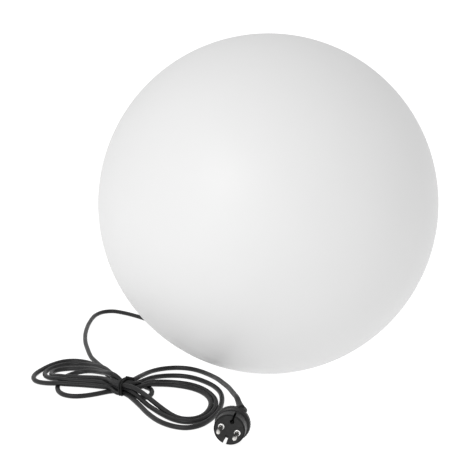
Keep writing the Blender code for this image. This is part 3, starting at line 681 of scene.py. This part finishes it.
relief_line = [Vector(p) for p, left in zip(cord_line, to_end) if left < RELIEF_LENGTH - RELIEF_INSIDE]
relief_line += [cord_end + cord_way * 0.0005 * i for i in range(1, 26)]
relief_line = smooth_line(relief_line, 0.0004)
relief = tube_along("relief", relief_line, 1.0, bevel_resolution=6)
for i, point in enumerate(relief.data.splines[0].points):
    along = i / (len(relief_line) - 1)
    rib = 0.0
    if along < RIBS_END:
        rib = RIB_DEPTH * (0.5 - 0.5 * math.cos(2 * math.pi * RIB_COUNT * along))
    point.radius = RELIEF_RADIUS + RELIEF_FLARE * along**3 - rib
relief_mesh = bpy.data.meshes.new_from_object(relief)
bpy.data.objects.remove(relief, do_unlink=True)
relief = bpy.data.objects.new("relief", relief_mesh)
scene.collection.objects.link(relief)
combined(plug_body, relief, "UNION")
earth_profile = [(0, -0.002), (PIN_HOLE_RADIUS, -0.002), (PIN_HOLE_RADIUS, 0.014), (0, 0.014)]
earth_hole = turned("tool", earth_profile, 32)
moved(earth_hole, plug_stand @ Matrix.Translation((0, 0, 0.010)) @ face_forward)
combined(plug_body, earth_hole)
combined(plug_body, moved(box_tool((-0.0012, -0.002, 0.010), (0.0012, 0.012, 0.024)), plug_stand))
combined(plug_body, moved(box_tool((-0.0019, -0.002, -0.024), (0.0019, 0.023, -0.0074)), plug_stand))

plug_rubber = surface("plug_rubber", (0.006, 0.006, 0.006), (0.018, 0.018, 0.019), 0.33, 0.55,
                      amount=0.5, patches=110.0, grains=2600.0, depth=0.35, waves=120.0,
                      wave_depth=0.06, gloss=0.30)
dress(plug_body, plug_rubber)
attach(plug_body, "plinth")
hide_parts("plug_body")

plug_face = surface("plug_face", (0.007, 0.007, 0.007), (0.018, 0.018, 0.018), 0.40, 0.6,
                    amount=0.7, patches=160.0, grains=3200.0, depth=0.30, gloss=0.30)
dress(nodes["plug_carrier"], plug_face)

# Each pin is solid nickel-plated brass with a bullet end, in a nickel collar on the face that is
# lightened to near white as a painted highlight.
pin_nickel = surface("pin_nickel", (0.62, 0.61, 0.59), (0.40, 0.39, 0.37), 0.20, 0.38, amount=0.7,
                     patches=300.0, grains=5000.0, depth=0.05, metallic=1.0)
# The collars' nickel is near white, far brighter than the pins' nickel. This is painted highlight: it
# stands in for the bright arcs the polished metal reflects.
collar_nickel_painted_highlight = surface("collar_nickel_painted_highlight", (0.98, 0.98, 0.97), (0.90, 0.89, 0.87), 0.22, 0.34, amount=0.5,
                        patches=300.0, grains=5000.0, depth=0.03, metallic=1.0)
pin_profile = softened([(0, -0.0184), (0.0006, -0.0188), (0.0011, -0.0190), (0.0020, -0.0182),
                        (0.0024, -0.0168), (0.0024, 0.0104), (0, 0.0104)], 0.0005)
collar_profile = softened([(PIN_HOLE_RADIUS, -0.0016), (0.0030, -0.0016), (0.0038, -0.0006),
                           (0.0038, -0.0003), (PIN_HOLE_RADIUS, -0.0003)], 0.0003, closed=True)
for side, word in ((-1, "left"), (1, "right")):
    beside = plug_stand @ Matrix.Translation((side * PIN_SPACING / 2, 0, 0)) @ face_forward
    pin = dress(moved(turned(f"pin_{word}", pin_profile, 36), beside), pin_nickel)
    collar = moved(turned(f"collar_{word}", collar_profile, 40, closed=True), beside)
    dress(collar, collar_nickel_painted_highlight)
    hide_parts(f"plug_pin_{word}")
    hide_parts(f"pin_collar_{word}")
    for piece in (pin, collar):
        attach(piece, "plinth")


# ---------------------------------------------------------------- Plinth
# A black injection-moulded cup that closes the globe's neck: a foot ring, a flange for four screws,
# and a tower with two bosses inside the globe. An O-ring seals it against the neck.
FIT = 0.0003
FOOT_RADIUS = 0.045
WELL_RADIUS = 0.036
FLANGE_RADIUS = 0.055
FLANGE_LOW = 0.0031
FLANGE_TOP = 0.0061
TOWER_RADIUS = 0.039
PLATE_LOW = 0.052
PLATE_TOP = 0.055
BOSS_TOP = 0.063
BOSS_X = 0.028
COLLAR_BORE = 0.044
COLLAR_TOP = 0.022
SCREW_HOLE_RADIUS = 0.0023
GLAND_HOLE_RADIUS = 0.0082
NOTCH_TURN = math.radians(132)

cup_profile = softened(
    [(WELL_RADIUS, 0), (FOOT_RADIUS, 0), (FOOT_RADIUS, FLANGE_LOW), (FLANGE_RADIUS, FLANGE_LOW),
     (FLANGE_RADIUS, FLANGE_TOP), (COLLAR_BORE - FIT, FLANGE_TOP), (COLLAR_BORE - FIT, COLLAR_TOP),
     (TOWER_RADIUS, COLLAR_TOP + 0.004), (TOWER_RADIUS, PLATE_TOP), (GLAND_HOLE_RADIUS, PLATE_TOP),
     (GLAND_HOLE_RADIUS, PLATE_LOW), (WELL_RADIUS, PLATE_LOW)], 0.0008, closed=True)
cup = turned("plinth_cup", cup_profile, 120, closed=True)
for side in (-1, 1):
    boss_profile = softened([(0, PLATE_TOP - 0.001), (0.0052, PLATE_TOP - 0.001), (0.0050, 0.0570),
                             (0.0050, BOSS_TOP), (0, BOSS_TOP)], 0.0005)
    boss = moved(turned("boss", boss_profile, 32), Matrix.Translation((side * BOSS_X, 0, 0)))
    combined(cup, boss, "UNION")
    pilot_profile = [(0, PLATE_TOP + 0.001), (SCREW_HOLE_RADIUS, PLATE_TOP + 0.001),
                     (SCREW_HOLE_RADIUS, BOSS_TOP + 0.001), (0, BOSS_TOP + 0.001)]
    combined(cup, moved(turned("tool", pilot_profile, 20), Matrix.Translation((side * BOSS_X, 0, 0))))
base_screw_places = []
for number in range(1, 5):
    screw_low, screw_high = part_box(f"base_screw_{number}")
    place = (screw_low + screw_high) / 2
    base_screw_places.append(Vector((place.x, place.y, 0)))
    hole_profile = [(0, -0.001), (SCREW_HOLE_RADIUS, -0.001), (SCREW_HOLE_RADIUS, 0.0085), (0, 0.0085)]
    combined(cup, moved(turned("tool", hole_profile, 20), Matrix.Translation(base_screw_places[-1])))
notch = box_tool((0.030, -0.004, -0.002), (0.060, 0.004, 0.0067))
combined(cup, moved(notch, Matrix.Rotation(NOTCH_TURN, 4, "Z")))
black_moulding = surface("black_moulding", (0.010, 0.010, 0.0105), (0.030, 0.030, 0.031), 0.34, 0.52,
                         amount=0.5, patches=60.0, grains=1800.0, depth=0.30, waves=50.0,
                         wave_depth=0.08, gloss=0.4)
dress(cup, black_moulding)
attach(cup, "plinth")
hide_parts("base_cup")

seal_rubber = surface("seal_rubber", (0.012, 0.012, 0.012), (0.035, 0.035, 0.036), 0.62, 0.78,
                      amount=0.6, patches=150.0, grains=3000.0, depth=0.25, gloss=0.3)
dress(nodes["base_seal"], seal_rubber)


# Four pan-head screws hold the flange up against the globe's collar. Zinc-plated steel with a cross
# recess; the two that hold the lampholder's bracket are the same kind.
zinc_steel = surface("zinc_steel", (0.46, 0.47, 0.48), (0.28, 0.28, 0.28), 0.28, 0.50, amount=0.7,
                     patches=220.0, grains=2500.0, depth=0.12, metallic=1.0)


SHANK_RADIUS = 0.0020
SHANK_CORE = 0.0017
SHANK_PITCH = 0.0008


def pan_screw(name, place, head_outer, head_inner, tip, head_radius):
    """A cross-recessed pan-head screw on a vertical axis. Its head's top is at head_outer."""
    way = 1 if head_outer > head_inner else -1
    profile = [(0, head_outer), (head_radius * 0.75, head_outer),
               (head_radius, head_outer - way * 0.0009), (head_radius, head_inner),
               (SHANK_RADIUS, head_inner)]
    ridges = int(abs(tip - head_inner) / SHANK_PITCH)
    for ridge in range(ridges):
        height = head_inner - way * (ridge + 0.5) * SHANK_PITCH
        profile += [(SHANK_RADIUS, height + way * 0.0002), (SHANK_CORE, height - way * 0.0002)]
    profile += [(0.0012, tip + way * 0.0003), (0, tip)]
    screw = turned(name, profile, 28)
    for turn in (0, 90):
        deep = head_outer - way * 0.0011
        low, high = sorted((deep, head_outer + way * 0.001))
        slot = moved(box_tool((-0.0018, -0.0004, low), (0.0018, 0.0004, high)),
                     Matrix.Rotation(math.radians(turn + 20), 4, "Z"))
        combined(screw, slot)
    moved(screw, Matrix.Translation(place))
    dress(screw, zinc_steel)
    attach(screw, "plinth")
    return screw


for number, place in enumerate(base_screw_places, 1):
    screw = pan_screw(f"flange_screw_{number}", place, 0.0009, FLANGE_LOW - FIT, 0.0170, 0.0036)
    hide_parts(f"base_screw_{number}")
for side, word in ((-1, "left"), (1, "right")):
    screw_low, screw_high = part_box(f"bracket_screw_{word}")
    screw = pan_screw(f"boss_screw_{word}", (side * BOSS_X, 0, 0), screw_high.z, screw_high.z - 0.0022,
                      screw_low.z, 0.0038)
    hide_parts(f"bracket_screw_{word}")


# ---------------------------------------------------------------- Cable gland
# A moulded nylon gland clamped through the plinth's plate. Its ribbed dome nut squeezes a rubber
# insert round the cord; above the plate the sheath ends and the two cores run to the lampholder.
gland_nylon = surface("gland_nylon", (0.014, 0.014, 0.0145), (0.040, 0.040, 0.041), 0.38, 0.55,
                      amount=0.5, patches=140.0, grains=2600.0, depth=0.22, gloss=0.4)
nut_profile = softened([(0.0034, 0.0302), (0.0060, 0.0302), (0.0095, 0.0325), (0.0110, 0.0370),
                        (0.0110, 0.0395), (0.0110, 0.0425), (0.0110, 0.0453), (0.0082, 0.0453),
                        (0.0082, 0.0317), (0.0034, 0.0317)], 0.0005, closed=True)
dome_nut = turned("gland_nut", nut_profile, 144, closed=True)
fluted(dome_nut, 18, 0.0006, 0.0345, 0.0450, 0.0095)
dress(dome_nut, gland_nylon)
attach(dome_nut, "plinth")
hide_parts("gland_dome_nut")


def eased(obj, width):
    """Rounds the sharp edges of a carried-over piece a little."""
    bevel = obj.modifiers.new("eased_edges", "BEVEL")
    bevel.width = width
    bevel.segments = 2
    bevel.limit_method = "ANGLE"
    bevel.angle_limit = math.radians(40)
    bevel.harden_normals = False
    return obj


for name in ("gland_body", "gland_locknut"):
    dress(eased(nodes[name], 0.0003), gland_nylon)
for name in ("gland_washer", "gland_insert"):
    dress(nodes[name], seal_rubber)
dress(nodes["cord_inside"], cord_rubber)
brown_insulation = surface("brown_insulation", (0.11, 0.035, 0.012), (0.16, 0.06, 0.03), 0.30, 0.45,
                           amount=0.5, patches=200.0, grains=3000.0, depth=0.08)
blue_insulation = surface("blue_insulation", (0.012, 0.06, 0.30), (0.03, 0.09, 0.36), 0.30, 0.45,
                          amount=0.5, patches=200.0, grains=3000.0, depth=0.08)
dress(nodes["core_brown"], brown_insulation)
dress(nodes["core_blue"], blue_insulation)


# ---------------------------------------------------------------- Globe
# One rotation-moulded shell of white polyethylene, 3.5 mm thick and satin outside. A thick collar
# round the opening in its bottom takes the plinth's four screws.
GLOBE_WALL = 0.0035
GLOBE_FLAT_RADIUS = 0.074
COLLAR_LIP_RADIUS = 0.078
inner_radius = GLOBE_RADIUS - GLOBE_WALL
underside = globe_centre.z - math.sqrt(GLOBE_RADIUS**2 - GLOBE_FLAT_RADIUS**2)


def arc(radius, centre_z, start, end, count):
    """Profile points of a circle centred on the axis, angles in degrees up from the equator."""
    found = []
    for i in range(count + 1):
        turn = math.radians(start + (end - start) * i / count)
        out = radius * math.cos(turn)
        found.append((0.0 if abs(out) < 1e-7 else out, centre_z + radius * math.sin(turn)))
    return found


flat_turn = -math.degrees(math.acos(GLOBE_FLAT_RADIUS / GLOBE_RADIUS))
lip_turn = -math.degrees(math.acos(COLLAR_LIP_RADIUS / inner_radius))
collar_line = softened(
    [(GLOBE_FLAT_RADIUS + 0.0012, underside + 0.0004), (GLOBE_FLAT_RADIUS - 0.001, underside),
     (COLLAR_BORE + 0.004, underside), (COLLAR_BORE, underside + 0.004), (COLLAR_BORE, COLLAR_TOP),
     (0.0560, COLLAR_TOP), (0.0625, 0.0155), (0.0700, 0.0130)], 0.0015)
globe_profile = arc(GLOBE_RADIUS, globe_centre.z, 90, flat_turn + 0.8, 80) + collar_line
globe_profile += arc(inner_radius, globe_centre.z, lip_turn, 90, 60)
globe = turned("globe", globe_profile, 160)
for place in base_screw_places:
    pilot_profile = [(0, underside - 0.001), (SCREW_HOLE_RADIUS, underside - 0.001),
                     (SCREW_HOLE_RADIUS, underside + 0.0115), (0, underside + 0.0115)]
    combined(globe, moved(turned("tool", pilot_profile, 20), Matrix.Translation(place)))
globe_plastic = surface("globe_plastic", (0.625, 0.625, 0.625), (0.61, 0.61, 0.61), 0.46, 0.54,
                        amount=0.5, patches=9.0, grains=900.0, depth=0.06, waves=14.0,
                        wave_depth=0.05, gloss=0.26)
dress(globe, globe_plastic)
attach(globe, "globe")
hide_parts("globe_shell")


# ---------------------------------------------------------------- Lampholder
# A black moulded screw lampholder on a bent steel bracket: it hangs on a hollow brass stem with a
# nut, and holds a ceramic core with the brass screw shell, the centre contact and two terminals.
dress(eased(nodes["holder_bracket"], 0.0004), zinc_steel)
brass = surface("brass", (0.78, 0.58, 0.26), (0.55, 0.38, 0.15), 0.22, 0.42, amount=0.6, patches=180.0,
                grains=3500.0, depth=0.08, metallic=1.0)
for name in ("holder_stem", "stem_nut", "holder_centre_contact", "terminal_screw_left",
             "terminal_screw_right"):
    dress(eased(nodes[name], 0.00025), brass)

holder_resin = surface("holder_resin", (0.010, 0.0095, 0.009), (0.028, 0.027, 0.026), 0.22, 0.42,
                       amount=0.5, patches=110.0, grains=1500.0, depth=0.08)
cap_profile = softened([(0.0052, 0.0903), (0.0130, 0.0903), (0.0185, 0.0975), (0.0205, 0.1040),
                        (0.0205, 0.1085), (0.0205, 0.1140), (0.0185, 0.1140), (0.0185, 0.1045),
                        (0.0130, 0.0933), (0.0052, 0.0933)], 0.0008, closed=True)
holder_cap = turned("lampholder_cap", cap_profile, 96, closed=True)
skirt_profile = softened([(0.0181, 0.1149), (0.0181, 0.1143), (0.0205, 0.1143), (0.0205, 0.1185),
                          (0.0205, 0.1250), (0.0205, 0.1320), (0.0205, 0.1400), (0.0195, 0.1420),
                          (0.0172, 0.1420), (0.0172, 0.1149)], 0.0006, closed=True)
holder_skirt = turned("lampholder_skirt", skirt_profile, 192, closed=True)
fluted(holder_skirt, 24, 0.0006, 0.1165, 0.1385, 0.0190)
for piece, node in ((holder_cap, "holder_cap"), (holder_skirt, "holder_skirt")):
    dress(piece, holder_resin)
    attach(piece, "plinth")
    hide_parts(node)

ceramic = surface("ceramic", (0.72, 0.70, 0.65), (0.62, 0.59, 0.53), 0.18, 0.34, amount=0.6,
                  patches=90.0, grains=1200.0, depth=0.10)
dress(eased(nodes["holder_core"], 0.0005), ceramic)


def threaded(profile, name, steps, low, high, pitch, depth):
    """A turned ring whose wall between two heights is rolled into a rounded screw thread."""
    obj = turned(name, profile, steps, closed=True)
    for vertex in obj.data.vertices:
        radius = math.hypot(vertex.co.x, vertex.co.y)
        fade = min(1.0, max(0.0, min(vertex.co.z - low, high - vertex.co.z) / 0.0012))
        if fade > 0:
            turn = math.atan2(vertex.co.y, vertex.co.x)
            less = depth * fade * (0.5 - 0.5 * math.cos(2 * math.pi * vertex.co.z / pitch - turn))
            vertex.co.x *= 1 - less / radius
            vertex.co.y *= 1 - less / radius
    return obj


def wall(radius, low, high, count):
    """Profile points up a straight wall, close enough together to carry a thread."""
    return [(radius, low + (high - low) * i / count) for i in range(count + 1)]


THREAD_PITCH = 0.0036
shell_profile = [(0.0100, 0.1149)] + wall(0.0145, 0.1149, 0.1380, 44)
shell_profile += [(0.0152, 0.1390), (0.0148, 0.1396)] + wall(0.0139, 0.1380, 0.1157, 44)
shell_profile += [(0.0100, 0.1157)]
screw_shell = threaded(shell_profile, "lampholder_thread", 72, 0.1170, 0.1370, THREAD_PITCH, 0.0005)
dress(screw_shell, brass)
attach(screw_shell, "plinth")
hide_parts("holder_screw_shell")


# ---------------------------------------------------------------- Bulb
# An LED bulb that screws into the holder: rolled aluminium cap on a black glass insulator, white
# housing, and a frosted dome over a round board of LEDs.
cap_line = [(0.0100, 0.1246), (0.0118, 0.1246), (0.0130, 0.1258)] + wall(0.0132, 0.1264, 0.1460, 40)
cap_line += wall(0.0125, 0.1460, 0.1266, 40) + [(0.0100, 0.1254)]
bulb_cap = threaded(cap_line, "bulb_screw_cap", 72, 0.1262, 0.1438, THREAD_PITCH, 0.0006)
rolled_aluminium = surface("rolled_aluminium", (0.60, 0.60, 0.59), (0.42, 0.42, 0.41), 0.24, 0.40,
                           amount=0.6, patches=200.0, grains=3500.0, depth=0.06, metallic=1.0)
dress(bulb_cap, rolled_aluminium)
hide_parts("bulb_cap")
tip_profile = softened([(0, 0.1182), (0.0022, 0.1182), (0.0036, 0.1188), (0.0045, 0.1200),
                        (0, 0.1200)], 0.0005)
bulb_tip = dress(turned("bulb_contact", tip_profile, 32), rolled_aluminium)
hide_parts("bulb_tip")

housing_white = surface("housing_white", (0.72, 0.72, 0.71), (0.64, 0.63, 0.61), 0.30, 0.45, amount=0.5,
                        patches=70.0, grains=1500.0, depth=0.10)
housing_profile = softened([(0, 0.1463), (0.0136, 0.1463), (0.0150, 0.1495), (0.0170, 0.1545),
                            (0.0240, 0.1640), (0.0288, 0.1705), (0.0290, 0.1720), (0, 0.1720)], 0.0022)
bulb_housing = dress(turned("bulb_body", housing_profile, 72), housing_white)
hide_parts("bulb_housing")

DOME_RADIUS = 0.030
DOME_FOOT = 0.1723
DOME_HEIGHT = 0.0559
DOME_WALL = 0.0012
dome_profile = []
for radius, height, turns in ((DOME_RADIUS, DOME_HEIGHT, range(90, -1, -3)),
                              (DOME_RADIUS - DOME_WALL, DOME_HEIGHT - DOME_WALL, range(0, 91, 3))):
    for turn in map(math.radians, turns):
        out = radius * math.cos(turn)
        dome_profile.append((0.0 if out < 1e-7 else out, DOME_FOOT + height * math.sin(turn)))
bulb_dome = turned("bulb_dome", dome_profile, 72)
frosted_white = surface("frosted_white", (0.80, 0.80, 0.78), (0.76, 0.76, 0.74), 0.34, 0.46, amount=0.5,
                        patches=50.0, grains=3000.0, depth=0.10)
frosted_white.node_tree.nodes["Principled BSDF"].inputs["Transmission Weight"].default_value = 0.25
dress(bulb_dome, frosted_white)
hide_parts("bulb_diffuser")
for piece in (bulb_cap, bulb_tip, bulb_housing, bulb_dome):
    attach(piece, "bulb")

black_glass = surface("black_glass", (0.006, 0.006, 0.007), (0.015, 0.015, 0.016), 0.06, 0.16,
                      amount=0.5, patches=200.0, grains=600.0, depth=0.05)
dress(eased(nodes["bulb_insulator"], 0.0003), black_glass)
board_white = surface("board_white", (0.62, 0.63, 0.60), (0.50, 0.52, 0.48), 0.35, 0.50, amount=0.7,
                      patches=260.0, grains=900.0, depth=0.20)
dress(nodes["led_board"], board_white)
